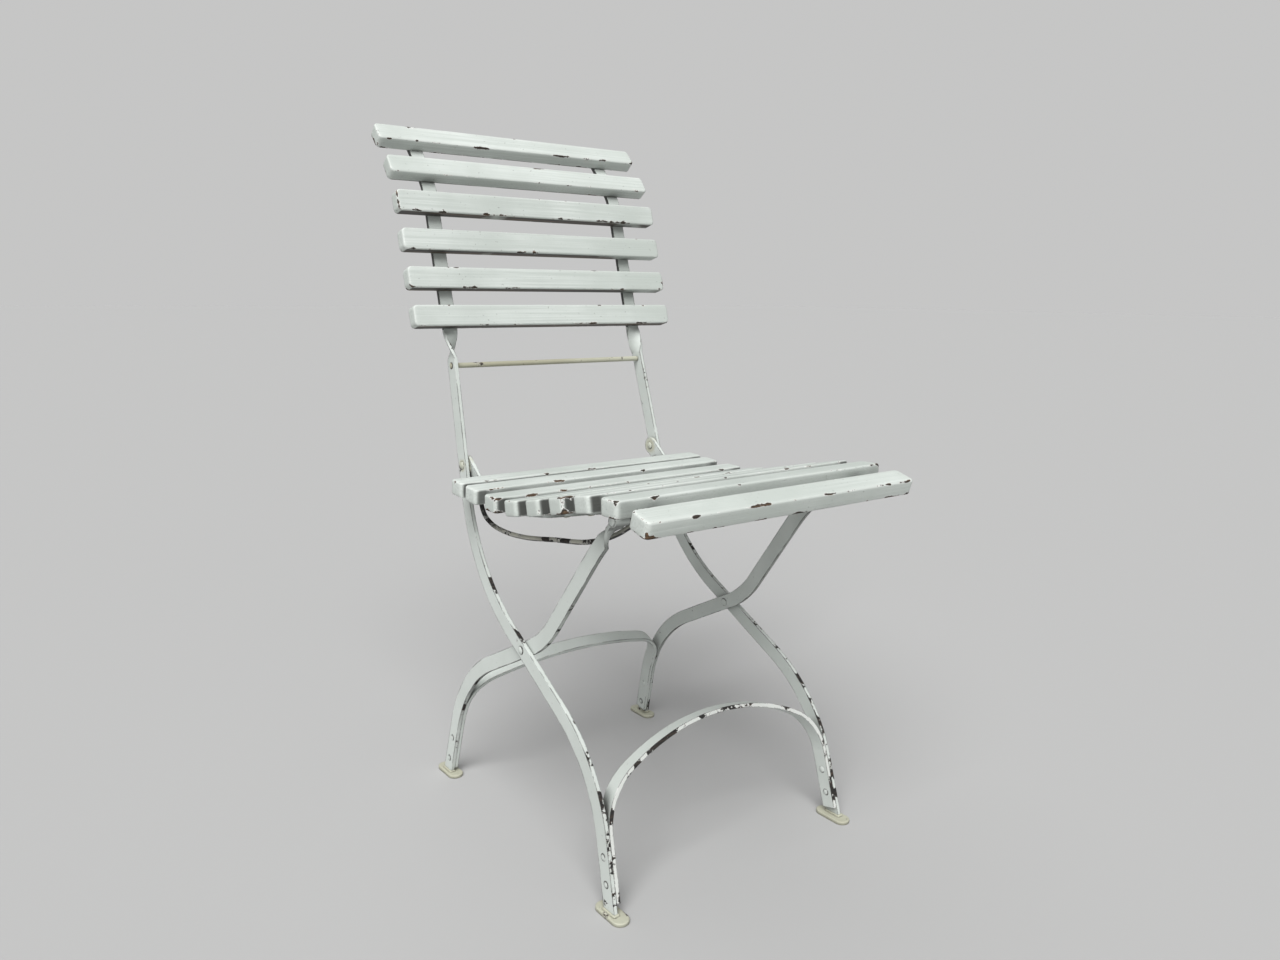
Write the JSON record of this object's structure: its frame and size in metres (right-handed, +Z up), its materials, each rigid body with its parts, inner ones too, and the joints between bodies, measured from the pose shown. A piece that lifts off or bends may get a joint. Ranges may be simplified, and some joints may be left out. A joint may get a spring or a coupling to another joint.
{
  "type": "folding chair",
  "caption": "Folding garden chair: curved flat-bar steel scissor frame with arched spreaders, dished seat and raked back of painted wooden slats.",
  "frame": {"origin": "on the floor under the middle of the chair's bounding box, chair set up for sitting", "axes": "+Z up; -Y towards the front edge of the seat, +Y towards the back; +X to the right when the chair is seen from the front"},
  "size_m": [0.414, 0.6044, 0.8894],
  "materials": {
    "painted_metal": "pale grey-green paint, worn and chipped along the edges",
    "painted_wood": "pale grey-green paint on wood, bare brown wood at chipped edges and ends",
    "worn_metal": "paint worn to yellowish beige, weathered",
    "fixings": "painted over with the frame, worn on top"
  },
  "bodies": {
    "frame": {"back_cross_rod": "worn_metal", "back_slat_1": "painted_wood", "back_slat_2": "painted_wood", "back_slat_3": "painted_wood", "back_slat_4": "painted_wood", "back_slat_5": "painted_wood", "back_slat_6": "painted_wood", "back_slat_screws": "fixings", "front_arch": "painted_metal", "front_arch_rivets": "fixings", "left_cross_pin": "fixings", "left_cross_washer": "fixings", "left_front_foot": "worn_metal", "left_long_bar": "painted_metal", "left_seat_pin": "fixings", "left_seat_washer": "fixings", "right_cross_pin": "fixings", "right_cross_washer": "fixings", "right_front_foot": "worn_metal", "right_long_bar": "painted_metal", "right_seat_pin": "fixings", "right_seat_washer": "fixings"},
    "rear_legs": {"left_rear_foot": "worn_metal", "left_short_bar": "painted_metal", "rear_arch": "painted_metal", "rear_arch_rivets": "fixings", "right_rear_foot": "worn_metal", "right_short_bar": "painted_metal", "slide_rod": "worn_metal"},
    "seat": {"left_guide_bow": "painted_metal", "left_seat_rail": "painted_metal", "right_guide_bow": "painted_metal", "right_seat_rail": "painted_metal", "seat_slat_1": "painted_wood", "seat_slat_2": "painted_wood", "seat_slat_3": "painted_wood", "seat_slat_4": "painted_wood", "seat_slat_5": "painted_wood", "seat_slat_6": "painted_wood", "seat_slat_7": "painted_wood", "seat_slat_8": "painted_wood", "seat_slat_9": "painted_wood", "seat_slat_screws": "fixings"}
  },
  "joints": [
    {"name": "seat_fold", "type": "hinge", "parent": "frame", "child": "seat", "pos_m": [0, 0.1453, 0.4475], "axis": [1, 0, 0], "range_deg": [-48.6, 0]},
    {"name": "rear_leg_fold", "type": "hinge", "parent": "frame", "child": "rear_legs", "pos_m": [0, -0.0182, 0.2435], "axis": [1, 0, 0], "range_deg": [-54, 0]}
  ],
  "couplings": [
    {"joint": "rear_leg_fold", "follows": "seat_fold", "ratio": 1.1111}
  ]
}
